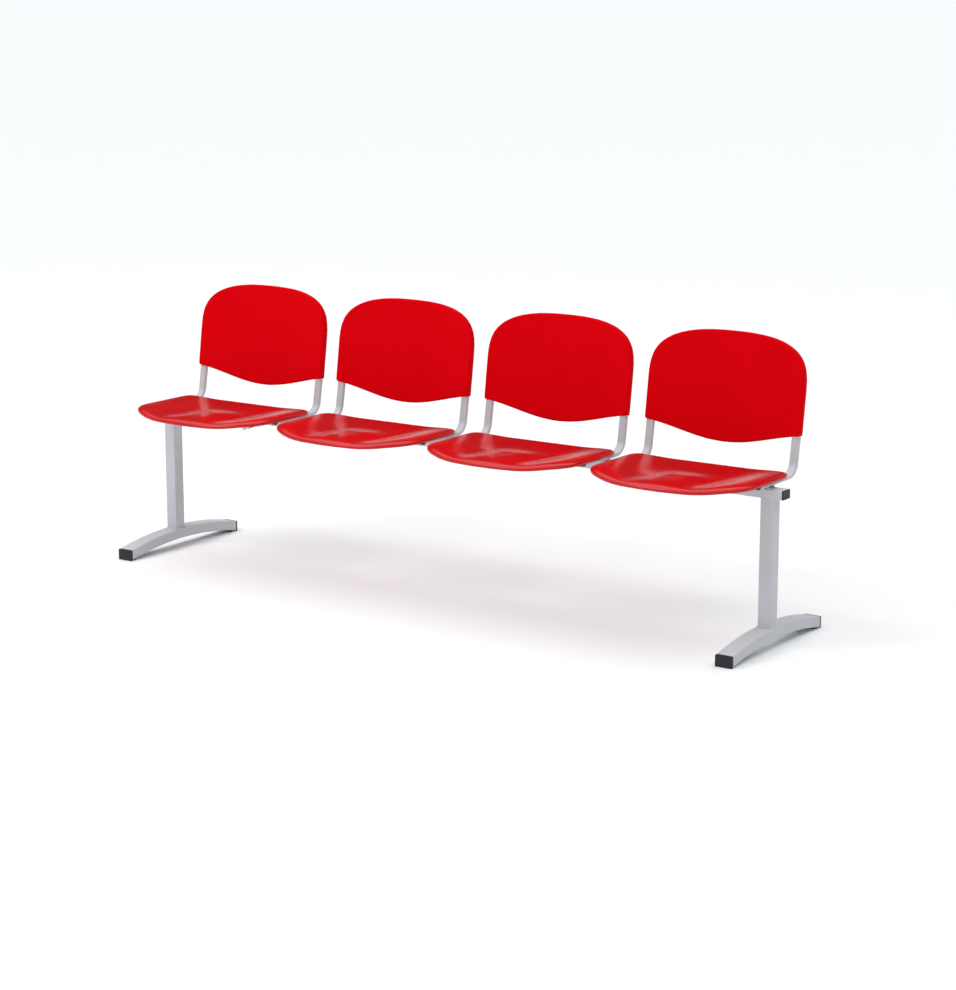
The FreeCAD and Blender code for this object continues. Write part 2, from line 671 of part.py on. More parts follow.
def buildBracket(label, across):
    """The plate that carries the two frame tubes and lies bolted on beam and head."""
    body = newBody(label)
    outline = sketchOn(body, "XY_Plane", "bracket_outline")
    addRectangle(outline, "2 * bracket_half", "bracket_depth", "-0.5 * bracket_depth")
    pad(body, outline, "bracket_thick", "bracket_stock", symmetric=False)
    roundEdges(body, "bracket_thick", "bracket_corners", runsAlong(Vector(0, 0, 1), 1))
    rows = boltRows(("beam_y", "carrier_y"))
    holes = sketchOn(body, "XY_Plane", "bracket_holes", size("bracket_thick"))
    for side in (-1, 1):
        for number, (row, _) in enumerate(rows):
            addCircle(holes, "bolt_hole", f"{side} * bracket_bolt_x", row,
                      f"hole{side + 1}{number}")
        addCircle(holes, "screw_radius + screw_gap", f"{side} * boss_x",
                  "rear_screw_y - bracket_y", f"screw{side + 1}")
    pocket(body, holes, "bracket_thick + 1", "bracket_drillings", symmetric=False)
    for side in (-1, 1):
        for _, along in rows:
            sink = body.newObject("PartDesign::SubtractiveCone", "bracket_sink")
            for name, expression in (("Radius1", "bolt_hole"), ("Radius2", "sink_radius"),
                                     ("Height", "sink_deep")):
                sink.setExpression(name, cell(expression))
            place(sink, side * size("bracket_bolt_x"), along,
                  size("bracket_thick") - size("sink_deep"))
            document.recompute()
    place(body, across, size("bracket_y"), size("beam_under") + size("beam_height"))
    keep(body)


def boltRows(rails):
    """Rows of bolts over the named rails from the plate's middle, as expression and number."""
    rows = []
    for rail in rails:
        for side in (-1, 1):
            along = size(rail) - size("bracket_y") + side * size("bracket_bolt_y")
            rows.append((f"{rail} - bracket_y + {side} * bracket_bolt_y", along))
    return rows


def buildBracketBolts(label, across, rails):
    """Countersunk bolts through plate and rails, each with a washer and a nut below."""
    parts = []
    grip = size("bracket_thick") + size("beam_height")
    shank, thick = size("bolt_radius"), size("washer_thick")
    for side in (-1, 1):
        for _, along in boltRows(rails):
            where = Vector(side * size("bracket_bolt_x"), along, 0)
            bolt = countersunkBolt(grip + size("bolt_tail"), shank, size("sink_head"),
                                   size("sink_deep"))
            under = Vector(0, 0, -grip - thick)
            washer = Part.makeCylinder(size("washer_radius"), thick, under).cut(
                Part.makeCylinder(shank + size("thread_gap"), thick, under))
            nut = hexNut(size("nut_radius"), size("nut_high"), shank + size("thread_gap"))
            nut.translate(under)
            for piece in (bolt, washer, nut):
                piece.translate(where)
                parts.append(piece)
    group(label, parts, across, size("bracket_y"), size("beam_under") + grip)


# Seat shell

def evenly(points, count):
    """Points at equal distances along a closed line that many points give."""
    ring = points + points[:1]
    reached = [0.0]
    for start, end in zip(ring, ring[1:]):
        reached.append(reached[-1] + (end - start).Length)
    spaced, number = [], 0
    for step in range(count):
        target = reached[-1] * step / count
        while reached[number + 1] < target:
            number += 1
        share = (target - reached[number]) / (reached[number + 1] - reached[number])
        spaced.append(ring[number] + (ring[number + 1] - ring[number]) * share)
    return spaced


def seatOutline(inset):
    """Closed outline of the seat: a half ellipse in front, a squarish half behind."""
    half = size("seat_half") - inset
    middle = size("seat_widest")
    front = size("front_wide"), size("front_long"), middle - size("seat_front") - inset
    rear = size("rear_square"), size("rear_square"), size("seat_rear") - middle - inset
    count = 4000
    points = []
    for step in range(count):
        angle = 2 * math.pi * (step + 0.5) / count
        cosine, sine = math.cos(angle), math.sin(angle)
        wide, long, reach = front if sine < 0 else rear
        across = math.copysign(abs(cosine) ** (2 / wide), cosine) * half
        along = math.copysign(abs(sine) ** (2 / long), sine) * reach
        points.append(Vector(across, middle + along, 0))
    curve = Part.BSplineCurve()
    curve.interpolate(Points=evenly(points, 240), PeriodicFlag=True)
    return Part.Wire(curve.toShape())


def fade(value, middle, reach):
    """Falls smoothly from 1 to 0 as a value passes through a slope's middle."""
    share = min(max((value - middle + reach) / (2 * reach), 0.0), 1.0)
    return 1 - share ** 2 * (3 - 2 * share)


def seatHeight(across, along):
    """Top of the seat: level rims, a hollow, a rise between the thighs and a falling lip."""
    middle, front, rear = size("seat_widest"), size("seat_front"), size("seat_rear")
    ahead = min(max((middle - along) / (middle - front), 0.0), 1.0)
    start = size("trough_start")
    behind = min(max((along - start) / (rear - start), 0.0), 1.0)
    side = size("trough_side") + size("trough_splay") * along
    hollow = size("trough_deep") * fade(abs(across), side, size("trough_slope"))
    hollow *= (1 - ahead ** 4) * (1 - (1 - size("trough_rear")) * behind ** 2)
    rise = size("pommel_high") * fade(abs(across), size("pommel_side"), size("pommel_slope"))
    rise *= (1 - ahead ** 4) * fade(along, size("pommel_rear"), size("pommel_slope"))
    return size("seat_rim") - hollow + rise - size("seat_lip") * ahead ** 3


def seatSurface():
    """A smooth surface through the seat's heights on an even grid."""
    margin, steps = 12, 40
    reach, start = size("seat_half") + margin, size("seat_front") - margin
    depth = size("seat_rear") + margin - start
    rows = []
    for stepX in range(steps + 1):
        across = -reach + 2 * reach * stepX / steps
        row = []
        for stepY in range(steps + 1):
            along = start + depth * stepY / steps
            row.append(Vector(across, along, seatHeight(across, along)))
        rows.append(row)
    surface = Part.BSplineSurface()
    surface.interpolate(rows)
    return surface.toShape()


def prism(wire, low, high):
    face = Part.Face(wire)
    face.translate(Vector(0, 0, low))
    return face.extrude(Vector(0, 0, high - low))


def makeSeatShell():
    """A dished plate with an edge all round and four screw bosses underneath."""
    low, high = size("seat_rim") - 60, size("seat_rim") + 20
    top = seatSurface()
    edge, wall = size("seat_edge"), size("seat_wall")
    plate = prism(seatOutline(0), low, high).common(top.extrude(Vector(0, 0, -edge)))
    under = top.translated(Vector(0, 0, -wall))
    shell = plate.cut(prism(seatOutline(size("seat_flange")), low, high).common(
        under.extrude(Vector(0, 0, -edge - 10))))
    below = top.translated(Vector(0, 0, -wall / 2)).extrude(Vector(0, 0, -3 * edge))
    for side in (-1, 1):
        for along in (size("cross_bar_y"), size("rear_screw_y")):
            where = Vector(side * size("boss_x"), along, barTop())
            post = Part.makeCylinder(size("boss_radius"), 3 * edge, where).common(below)
            shell = shell.fuse(post)
            shell = shell.cut(Part.makeCylinder(size("screw_radius") + size("thread_gap"),
                                                size("seat_bite") + 1, where))
        notch = size("notch_wide")
        corner = Vector(side * size("frame_x") - notch / 2, size("seat_rear") - size("notch_deep"),
                        size("rail_z") + size("oval_thin") / 2 + size("notch_gap") - notch)
        shell = shell.cut(Part.makeBox(notch, notch, notch, corner))
    return shell.removeSplitter()


def screw(length):
    """A pan-headed screw: head below the origin, shank above."""
    radius, headRadius, headHeight = size("screw_radius"), size("screw_head"), size("screw_high")
    profile = [(0, -headHeight), (headRadius * 0.75, -headHeight), (headRadius, -headHeight * 0.4),
               (headRadius, 0), (radius, 0), (radius, length - 2), (0.3, length), (0, length)]
    points = [Vector(across, 0, up) for across, up in profile]
    outline = Part.Face(Part.makePolygon(points + points[:1]))
    solid = outline.revolve(Vector(0, 0, 0), Vector(0, 0, 1), 360)
    for turn in (0, 90):
        slot = Part.makeBox(headRadius, 0.8, 1.2, Vector(-headRadius / 2, -0.4, -headHeight))
        slot.rotate(Vector(0, 0, 0), Vector(0, 0, 1), turn)
        solid = solid.cut(slot)
    return solid


def buildSeatScrews(label, across):
    screws = []
    for side in (-1, 1):
        for along, thick in ((size("cross_bar_y"), size("bar_thick")),
                             (size("rear_screw_y"), size("bracket_thick"))):
            piece = screw(thick + size("seat_bite"))
            piece.translate(Vector(side * size("boss_x"), along, -thick))
            screws.append(piece)
    group(label, screws, across, 0, barTop())


# Back shell. Its own axes: across, rearwards, and up along the slope of the back.

def backOutline(inset):
    """Outline of the back: a squarish crown, straight sides and a lower edge with a lobe."""
    half = size("back_half") - inset
    side, crown = size("back_side"), size("back_tall") - size("back_side") - inset
    arch = []
    for step in range(33):
        angle = math.pi * step / 32
        cosine, sine = math.cos(angle), math.sin(angle)
        across = math.copysign(abs(cosine) ** (2 / size("crown_wide")), cosine) * half
        arch.append(Vector(across, side + crown * max(sine, 0) ** (2 / size("crown_high")), 0))
    lobe = []
    for step in range(25):
        share = -1 + 2 * step / 24
        dip = size("back_lobe") * 0.5 * (1 + math.cos(math.pi * share / size("lobe_spread")))
        lobe.append(Vector(half * share, inset - dip, 0))
    top, bottom = Part.BSplineCurve(), Part.BSplineCurve()
    top.interpolate(Points=arch)
    bottom.interpolate(Points=lobe)
    return [bottom, Part.LineSegment(lobe[-1], arch[0]), top, Part.LineSegment(arch[-1], lobe[0])]


def backArc(offset):
    """The back's curve seen from above, moved rearwards by an offset."""
    half = size("back_half") + 10
    ends = size("back_sag") * (1 - (half / size("back_half")) ** 2)
    return (Vector(-half, ends + offset, 0), Vector(0, size("back_sag") + offset, 0),
            Vector(half, ends + offset, 0))


def cutBeside(body, offset, far, name):
    """Take away everything between the back's curve at an offset and a far line."""
    start, middle, end = backArc(offset)
    sketch = sketchOn(body, "XY_Plane", name + "_line")
    startFar, endFar = Vector(start.x, far, 0), Vector(end.x, far, 0)
    addLoop(sketch, [Part.Arc(start, middle, end), Part.LineSegment(end, endFar),
                     Part.LineSegment(endFar, startFar), Part.LineSegment(startFar, start)])
    pocket(body, sketch, "4 * back_tall", name)


def backBlank(label):
    """The curved slab that the back shell is hollowed from."""
    body = newBody(label)
    outline = sketchOn(body, "XZ_Plane", "back_outline")
    addLoop(outline, backOutline(0.0))
    pad(body, outline, "back_blank", "back_stock")
    cutBeside(body, -size("back_front"), -size("back_blank"), "back_face")
    cutBeside(body, size("back_rear"), size("back_blank"), "back_rear_face")
    return body


def backCore(label):
    """What is taken out from behind: the hollow between the edges."""
    body = newBody(label)
    outline = sketchOn(body, "XZ_Plane", "core_outline")
    addLoop(outline, backOutline(size("back_wall")))
    pad(body, outline, "back_blank", "core_stock")
    cutBeside(body, size("back_wall") - size("back_front"), -size("back_blank"), "core_face")
    return body


def makeBackShell():
    """A curved plate with a deep edge, two ribs, and two sleeves for the uprights."""
    blank, core = backBlank("back_blank"), backCore("back_core")
    slab, hollow = blank.Shape.copy(), core.Shape.copy()
    low = -size("back_lobe")
    inner, outer = size("sleeve_inner"), size("back_half")
    sleeves, slots = [], []
    front = -size("back_front") - 5
    for side in (-1, 1):
        left = inner if side > 0 else -outer
        block = Part.makeBox(outer - inner, size("sleeve_rear") - front,
                             size("sleeve_top") - low, Vector(left, front, low))
        sleeves.append(block)
        wide = size("oval_wide") + 2 * size("sleeve_gap")
        thin = size("oval_thin") + 2 * size("sleeve_gap")
        slot = ovalPrism(wide, thin, 0, size("upright_top") + 2 - low)
        slot.rotate(Vector(0, 0, 0), Vector(1, 0, 0), 90)
        slot.translate(Vector(side * size("frame_x"), sleeveTube(), low))
        slots.append(slot)
    outlineSolid = Part.Face(Part.Wire(Part.__sortEdges__(
        [curve.toShape() for curve in backOutline(0.0)])))
    outlineSolid.rotate(Vector(0, 0, 0), Vector(1, 0, 0), 90)
    outlineSolid.translate(Vector(0, size("back_blank") / 2, 0))
    outlinePrism = outlineSolid.extrude(Vector(0, -size("back_blank"), 0))
    behindFace = core.Shape.fuse(slab)
    shell = slab.cut(hollow)
    for block in sleeves:
        shell = shell.fuse(block.common(outlinePrism).common(behindFace))
    for up in (size("rib_low"), size("rib_high")):
        rib = Part.makeBox(2 * inner, size("back_blank"), size("rib_thick"),
                           Vector(-inner, -size("back_blank") / 2, up))
        shell = shell.fuse(rib.common(slab))
    for slot in slots:
        shell = shell.cut(slot)
    for side in (-1, 1):
        start = Vector(side * size("frame_x"), sleeveTube(), size("back_screw_up"))
        shell = shell.cut(Part.makeCylinder(size("screw_radius") + size("thread_gap"),
                                            2 * size("sleeve_rear"), start, Vector(0, 1, 0)))
    for body in (blank, core):
        body.removeObjectsFromDocument()
        document.removeObject(body.Name)
    return shell.removeSplitter()


def buildBackScrews(label, across):
    screws = []
    for side in (-1, 1):
        piece = screw(size("back_bite"))
        piece.rotate(Vector(0, 0, 0), Vector(1, 0, 0), 90)
        piece.translate(Vector(side * size("frame_x"), size("sleeve_rear"), size("back_screw_up")))
        screws.append(piece)
    group(label, screws, across, size("back_line_y"), size("corner_z"), backTurn())


def backTurn():
    return Rotation(Vector(1, 0, 0), -size("back_slope"))


def shellFrom(label, shape, across, along=0.0, up=0.0, turn=None):
    item = document.addObject("Part::Feature", label)
    item.Label = label
    item.Shape = shape
    place(item, across, along, up, turn)
    return keep(item)


buildBeam()
for word, side in (("left", -1), ("right", 1)):
    buildHead(f"leg_head_{word}", side)
    buildHeadCap(f"head_cap_{word}", side)
    buildPost(f"post_{word}", side)
    buildNutPlate(f"post_nut_plate_{word}", side)
    buildLegBolts(f"leg_bolts_{word}", side)
    buildFoot(f"foot_{word}", side)
    buildFootCap(f"foot_cap_front_{word}", side, -1)
    buildFootCap(f"foot_cap_rear_{word}", side, 1)

buildRailPlugs("rail_plugs")

seatShape, backShape = makeSeatShell(), makeBackShell()
for seat in range(int(size("seat_count"))):
    middle = (seat - (size("seat_count") - 1) / 2) * size("seat_pitch")
    number = seat + 1
    buildFrameTube(f"frame_tube_left_{number}", middle - size("frame_x"))
    buildFrameTube(f"frame_tube_right_{number}", middle + size("frame_x"))
    buildTubePlugs(f"tube_plugs_{number}", middle)
    buildCrossBar(f"cross_bar_{number}", middle)
    buildBracket(f"beam_bracket_{number}", middle)
    isOuter = seat in (0, size("seat_count") - 1)
    buildBracketBolts(f"bracket_bolts_{number}", middle,
                      ("beam_y", "carrier_y") if isOuter else ("beam_y",))
    shellFrom(f"seat_shell_{number}", seatShape.copy(), middle)
    buildSeatScrews(f"seat_screws_{number}", middle)
    shellFrom(f"back_shell_{number}", backShape.copy(), middle,
              size("back_line_y"), size("corner_z"), backTurn())
    buildBackScrews(f"back_screws_{number}", middle)

document.recompute()

problems = []
for item in document.Objects:
    if "Invalid" in item.State or "Error" in item.State:
        problems.append(f"{item.Label}: {item.State}")
for item in subparts:
    shape = item.Shape
    if shape.isNull() or not shape.isValid() or not shape.Solids:
        problems.append(f"{item.Label}: no valid solid")
if problems:
    raise RuntimeError("; ".join(problems))

os.makedirs("parts", exist_ok=True)
for item in subparts:
    item.Shape.exportStep(f"parts/{item.Label}.step")
    box = item.Shape.BoundBox
    print(f"{item.Label}: {len(item.Shape.Solids)} solids, {item.Shape.Volume / 1000:.1f} cm3, "
          f"x {box.XMin:.1f}..{box.XMax:.1f} y {box.YMin:.1f}..{box.YMax:.1f} "
          f"z {box.ZMin:.1f}..{box.ZMax:.1f}")
print(len(subparts), "nodes written")
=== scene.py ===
import json
import math

import bpy
import numpy as np
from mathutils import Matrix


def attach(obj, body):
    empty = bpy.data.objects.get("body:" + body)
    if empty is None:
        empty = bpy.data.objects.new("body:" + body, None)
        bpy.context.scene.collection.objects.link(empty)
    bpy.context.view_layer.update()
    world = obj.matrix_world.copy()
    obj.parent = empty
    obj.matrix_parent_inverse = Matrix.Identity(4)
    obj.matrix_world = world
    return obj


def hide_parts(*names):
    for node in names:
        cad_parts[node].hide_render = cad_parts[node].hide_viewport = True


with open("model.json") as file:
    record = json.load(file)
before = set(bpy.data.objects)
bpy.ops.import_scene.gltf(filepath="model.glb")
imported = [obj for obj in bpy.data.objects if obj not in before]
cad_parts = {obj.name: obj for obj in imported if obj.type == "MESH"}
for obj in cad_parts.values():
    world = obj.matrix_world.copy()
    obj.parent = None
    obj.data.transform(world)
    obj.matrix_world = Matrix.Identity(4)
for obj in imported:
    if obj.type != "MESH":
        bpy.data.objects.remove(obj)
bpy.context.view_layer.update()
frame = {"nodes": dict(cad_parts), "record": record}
cadNodes = frame["nodes"]
mm = 0.001
seatPitch = 525 * mm
seatCount = 4
seatMiddles = (np.arange(seatCount) - (seatCount - 1) / 2) * seatPitch
print("frame loaded:", len(cadNodes), "nodes")


# Camera and studio

photoView = {
    "place": (4.0551, -5.7490, 1.8050),
    "down": 12.24,   # degrees below the horizon
    "turn": 34.59,   # degrees round from the bench's front
    "lens": 93.49,   # for a 36 mm sensor along the long side
}
cameraData = bpy.data.cameras.new("photoCamera")
cameraData.lens = photoView["lens"]
cameraData.sensor_width = 36
cameraData.clip_end = 200
camera = bpy.data.objects.new("photoCamera", cameraData)
camera.location = photoView["place"]
camera.rotation_euler = (math.radians(90 - photoView["down"]), 0, math.radians(photoView["turn"]))
bpy.context.scene.collection.objects.link(camera)
bpy.context.scene.camera = camera
bpy.context.scene.view_settings.view_transform = "Standard"

studio = {
    "floorHalf": 400.0,
    "skyFrom": 0.45,     # sine of the height where the light begins to grow
    "skyTo": 0.85,
    "skyLow": 0.03,
    "skyHigh": 1.76,
    "glow": 0.9,         # the bright band on the horizon, and the sines where it fades
    "glowFrom": 0.04,
    "glowTo": 0.15,
    "keyPlace": (-2.6, -3.6, 4.6),
    "keySide": 2.2,
    "keyPower": 95.0,
}


def addLamp(name, place, aim, side, power):
    # a square soft box at a place, turned to face a point
    lamp = bpy.data.lights.new(name, "AREA")
    lamp.shape = "SQUARE"
    lamp.size = side
    lamp.energy = power
    holder = bpy.data.objects.new(name, lamp)
    aimed = np.array(aim, float) - np.array(place, float)
    holder.location = place
    flat = math.hypot(aimed[0], aimed[1])
    holder.rotation_euler = (math.atan2(flat, -aimed[2]), 0, math.atan2(-aimed[0], aimed[1]))
    bpy.context.scene.collection.objects.link(holder)


# Node trees

class Wire:
    # one output of a shader node; a sum or product of wires adds its Math node
    def __init__(self, shader, socket):
        self.shader = shader
        self.socket = socket

    def maths(self, operation, first, second):
        return self.shader.node("ShaderNodeMath", {"operation": operation}, {0: first, 1: second})

    def __add__(self, other):
        return self.maths("ADD", self, other)

    def __mul__(self, other):
        return self.maths("MULTIPLY", self, other)

    __radd__ = __add__
    __rmul__ = __mul__


class Shading:
    # a node tree being built, and its coordinates
    def __init__(self, tree, coordinates):
        self.tree = tree
        self.place = self.node("ShaderNodeTexCoord", {}, {}, coordinates)

    def feed(self, socket, value):
        if isinstance(value, Wire):
            self.tree.links.new(value.socket, socket)
        else:
            socket.default_value = value

    def node(self, kind, settings, sockets, output=0):
        made = self.tree.nodes.new(kind)
        for name, value in settings.items():
            setattr(made, name, value)
        for name, value in sockets.items():
            self.feed(made.inputs[name], value)
        return Wire(self, made.outputs[output])

    def spread(self, value, low, high, start=0.0, end=1.0, shape="LINEAR"):
        # from start to end while the value goes from low to high
        return self.node("ShaderNodeMapRange", {"interpolation_type": shape},
                         {"Value": value, "From Min": low, "From Max": high,
                          "To Min": start, "To Max": end})


class Finish(Shading):
    # a material being built, with its one surface shader
    def __init__(self, name):
        self.material = bpy.data.materials.new(name)
        self.material.use_nodes = True
        super().__init__(self.material.node_tree, "Object")
        self.surface = self.tree.nodes["Principled BSDF"]

    def noise(self, scale, detail=2.0, roughness=0.5):
        sockets = {"Vector": self.place, "Scale": scale, "Detail": detail, "Roughness": roughness}
        return self.node("ShaderNodeTexNoise", {}, sockets)

    def blend(self, share, first, second):
        made = self.tree.nodes.new("ShaderNodeMix")
        made.data_type = "RGBA"
        self.feed(made.inputs["Factor"], share)
        self.feed(made.inputs[6], first)
        self.feed(made.inputs[7], second)
        return Wire(self, made.outputs[2])

    def clouded(self, scale, first, second):
        # a colour that drifts slowly between two
        return self.blend(self.spread(self.noise(scale, 3.0), 0.3, 0.7), first, second)

    def mottled(self, scale, gloss, detail=4.0, roughness=0.6):
        # a roughness that varies in soft patches between two
        return self.spread(self.noise(scale, detail, roughness), 0.3, 0.7, *gloss)

    def attribute(self, name):
        return self.node("ShaderNodeAttribute", {"attribute_name": name}, {}, "Fac")

    def bump(self, height, distance, strength=1.0, below=None):
        sockets = {"Height": height, "Distance": distance, "Strength": strength}
        if below:
            sockets["Normal"] = below
        return self.node("ShaderNodeBump", {}, sockets)

    def set(self, **values):
        for name, value in values.items():
            self.feed(self.surface.inputs[name.replace("_", " ")], value)
        return self.material


world = bpy.data.worlds.new("whiteStudio")
world.use_nodes = True
bpy.context.scene.world = world
dome = Shading(world.node_tree, "Generated")
skyHeight = dome.node("ShaderNodeSeparateXYZ", {}, {"Vector": dome.place}, "Z")
skyLight = dome.spread(skyHeight, studio["skyFrom"], studio["skyTo"],
                       studio["skyLow"], studio["skyHigh"], "SMOOTHSTEP")
horizonGlow = dome.spread(skyHeight, studio["glowFrom"], studio["glowTo"],
                          studio["glow"], 0.0, "SMOOTHSTEP")
dome.feed(world.node_tree.nodes["Background"].inputs["Color"], (1, 1, 1, 1))
dome.feed(world.node_tree.nodes["Background"].inputs["Strength"], skyLight + horizonGlow)
addLamp("keyLamp", studio["keyPlace"], (0, 0, 0.4), studio["keySide"], studio["keyPower"])
print("camera and lamps placed")


# Materials

plasticIor = 1.48

seatLook = {
    "red": (0.60, 0.0035, 0.006, 1),
    "deepRed": (0.55, 0.0025, 0.0045, 1),
    "scuffed": (0.64, 0.02, 0.022, 1),
    "cloud": 9.0,         # noise scales, per metre
    "patch": 38.0,
    "wear": 160.0,
    "wearShare": 0.25,    # how far the rim's wear goes towards the scuffed colour
    "wearDull": 0.3,
    "gloss": (0.21, 0.23),
    "shine": 0.38,
}


def seatPlastic():
    finish = Finish("seatPlastic")
    wear = finish.spread(finish.noise(seatLook["wear"], 4.0, 0.65), 0.55, 0.75)
    worn = wear * finish.attribute("rim") * seatLook["wearShare"]
    colour = finish.clouded(seatLook["cloud"], seatLook["deepRed"], seatLook["red"])
    colour = finish.blend(worn, colour, seatLook["scuffed"])
    rough = finish.mottled(seatLook["patch"], seatLook["gloss"]) + worn * seatLook["wearDull"]
    return finish.set(Base_Color=colour, Roughness=rough, Specular_IOR_Level=seatLook["shine"],
                      IOR=plasticIor)


backLook = {
    "red": (0.71, 0.0009, 0.0046, 1),
    "deepRed": (0.68, 0.0007, 0.0040, 1),
    "cloud": 7.0,         # noise scales, per metre
    "patch": 45.0,
    "grain": 1100.0,
    "grainDeep": 0.00003,
    "gloss": (0.46, 0.54),
    "shine": 0.01,
}


def backPlastic():
    finish = Finish("backPlastic")
    colour = finish.clouded(backLook["cloud"], backLook["deepRed"], backLook["red"])
    rough = finish.mottled(backLook["patch"], backLook["gloss"])
    grain = finish.noise(backLook["grain"], 3.0, 0.6)
    normal = finish.bump(grain, backLook["grainDeep"], 0.5)
    return finish.set(Base_Color=colour, Roughness=rough, Normal=normal,
                      Specular_IOR_Level=backLook["shine"], IOR=plasticIor)


paintLook = {
    "silver": (0.60, 0.62, 0.655, 1),
    "shade": (0.565, 0.585, 0.62, 1),
    "cloud": 11.0,        # noise scales, per metre
    "patch": 60.0,
    "peel": 420.0,        # the coat's orange peel
    "peelDeep": 0.00006,
    "fleck": 2600.0,
    "fleckDeep": 0.00001,
    "gloss": (0.52, 0.60),
    "metal": 0.1,
    "shine": 0.2,
}


def silverPaint():
    finish = Finish("silverPaint")
    colour = finish.clouded(paintLook["cloud"], paintLook["shade"], paintLook["silver"])
    rough = finish.mottled(paintLook["patch"], paintLook["gloss"])
    fleckScale = {"Vector": finish.place, "Scale": paintLook["fleck"]}
    fleck = finish.node("ShaderNodeTexVoronoi", {}, fleckScale)
    normal = finish.bump(finish.noise(paintLook["peel"], 1.0), paintLook["peelDeep"], 0.6)
    normal = finish.bump(fleck, paintLook["fleckDeep"], 0.3, normal)
    return finish.set(Base_Color=colour, Roughness=rough, Normal=normal,
                      Metallic=paintLook["metal"], Specular_IOR_Level=paintLook["shine"])


capLook = {
    "black": (0.018, 0.019, 0.022, 1),
    "dusty": (0.024, 0.025, 0.029, 1),
    "dust": 120.0,        # noise scales, per metre
    "patch": 70.0,
    "grain": 900.0,
    "grainDeep": 0.00005,
    "gloss": (0.42, 0.55),
    "shine": 0.3,
}


def capPlastic():
    finish = Finish("capPlastic")
    dust = finish.spread(finish.noise(capLook["dust"], 4.0, 0.6), 0.4, 0.75)
    colour = finish.blend(dust, capLook["black"], capLook["dusty"])
    rough = finish.mottled(capLook["patch"], capLook["gloss"], 3.0, 0.5)
    normal = finish.bump(finish.noise(capLook["grain"], 2.0), capLook["grainDeep"], 0.6)
    return finish.set(Base_Color=colour, Roughness=rough, Normal=normal,
                      Specular_IOR_Level=capLook["shine"])


zincLook = {
    "bright": (0.62, 0.62, 0.60, 1),
    "dull": (0.46, 0.46, 0.45, 1),
    "spangle": 260.0,     # noise scales, per metre
    "patch": 500.0,
    "grain": 1500.0,
    "grainDeep": 0.00002,
    "gloss": (0.28, 0.42),
}


def zincSteel():
    finish = Finish("zincSteel")
    spangle = finish.spread(finish.noise(zincLook["spangle"], 4.0, 0.6), 0.35, 0.65)
    colour = finish.blend(spangle, zincLook["dull"], zincLook["bright"])
    rough = finish.mottled(zincLook["patch"], zincLook["gloss"], 3.0, 0.5)
    normal = finish.bump(finish.noise(zincLook["grain"], 2.0), zincLook["grainDeep"], 0.6)
    return finish.set(Base_Color=colour, Roughness=rough, Normal=normal, Metallic=1.0)


floorLook = {
    "pale": (0.96, 0.985, 0.995, 1),
    "patch": 3.0,
    "gloss": (0.75, 0.85),
    "shine": 0.1,
}


def paleFloor():
    finish = Finish("paleFloor")
    rough = finish.mottled(floorLook["patch"], floorLook["gloss"], 3.0, 0.5)
    return finish.set(Base_Color=floorLook["pale"], Roughness=rough,
                      Specular_IOR_Level=floorLook["shine"])


finishes = {
    "seat_red": seatPlastic(),
    "back_red": backPlastic(),
    "frame_silver": silverPaint(),
    "cap_black": capPlastic(),
    "fastener_steel": zincSteel(),
}
print("materials made:", len(finishes))


# Meshes from grids

def closedSkin(name, grid, rim=None):
    # a closed surface from rings of points: the first and last ring shrink to one point each,
    # and every ring closes on itself
    rings, columns = grid.shape[:2]
    body = grid[1:-1].reshape(-1, 3)
    points = np.vstack((grid[0].mean(0), body, grid[-1].mean(0)))
    ring = 1 + np.arange(rings - 2)[:, None] * columns
    here = ring + np.arange(columns)
    after = ring + (np.arange(columns) + 1) % columns
    quads = np.stack((here[:-1], here[1:], after[1:], after[:-1]), -1).reshape(-1, 4)
    last = len(points) - 1
    firstFan = np.stack((np.zeros(columns, int), here[0], after[0]), -1)
    lastFan = np.stack((np.full(columns, last), after[-1], here[-1]), -1)
    mesh = bpy.data.meshes.new(name)
    mesh.from_pydata(points.tolist(), [], firstFan.tolist() + quads.tolist() + lastFan.tolist())
    mesh.polygons.foreach_set("use_smooth", np.ones(len(mesh.polygons), bool))
    if rim is not None:
        ends = np.concatenate((rim[0, :1], rim[1:-1].ravel(), rim[-1, :1]))
        mesh.attributes.new("rim", "FLOAT", "POINT").data.foreach_set("value", ends)
    return mesh


def closedRing(name, grid):
    # a surface that closes on itself both ways
    rows, columns = grid.shape[:2]
    row, column = np.arange(rows)[:, None], np.arange(columns)
    here = row * columns + column
    nextRow, nextColumn = (row + 1) % rows * columns, (column + 1) % columns
    quads = np.stack((here, row * columns + nextColumn, nextRow + nextColumn, nextRow + column), -1)
    mesh = bpy.data.meshes.new(name)
    mesh.from_pydata(grid.reshape(-1, 3).tolist(), [], quads.reshape(-1, 4).tolist())
    mesh.polygons.foreach_set("use_smooth", np.ones(len(mesh.polygons), bool))
    return mesh


def joined(name, meshes, slot):
    # several closed skins as the one piece that they are
    made = []
    for mesh in meshes:
        item = bpy.data.objects.new(name, mesh)
        bpy.context.scene.collection.objects.link(item)
        made.append(item)
    with bpy.context.temp_override(active_object=made[0], object=made[0],
                                   selected_objects=made, selected_editable_objects=made):
        bpy.ops.object.join()
    piece = made[0]
    piece.name = name
    piece.data.name = name
    piece.data.materials.clear()
    piece.data.materials.append(finishes[slot])
    return piece


offAxis = 0.0001   # radians; keeps an outline's first points off its axes


def power(value, exponent):
    return np.sign(value) * np.abs(value) ** exponent


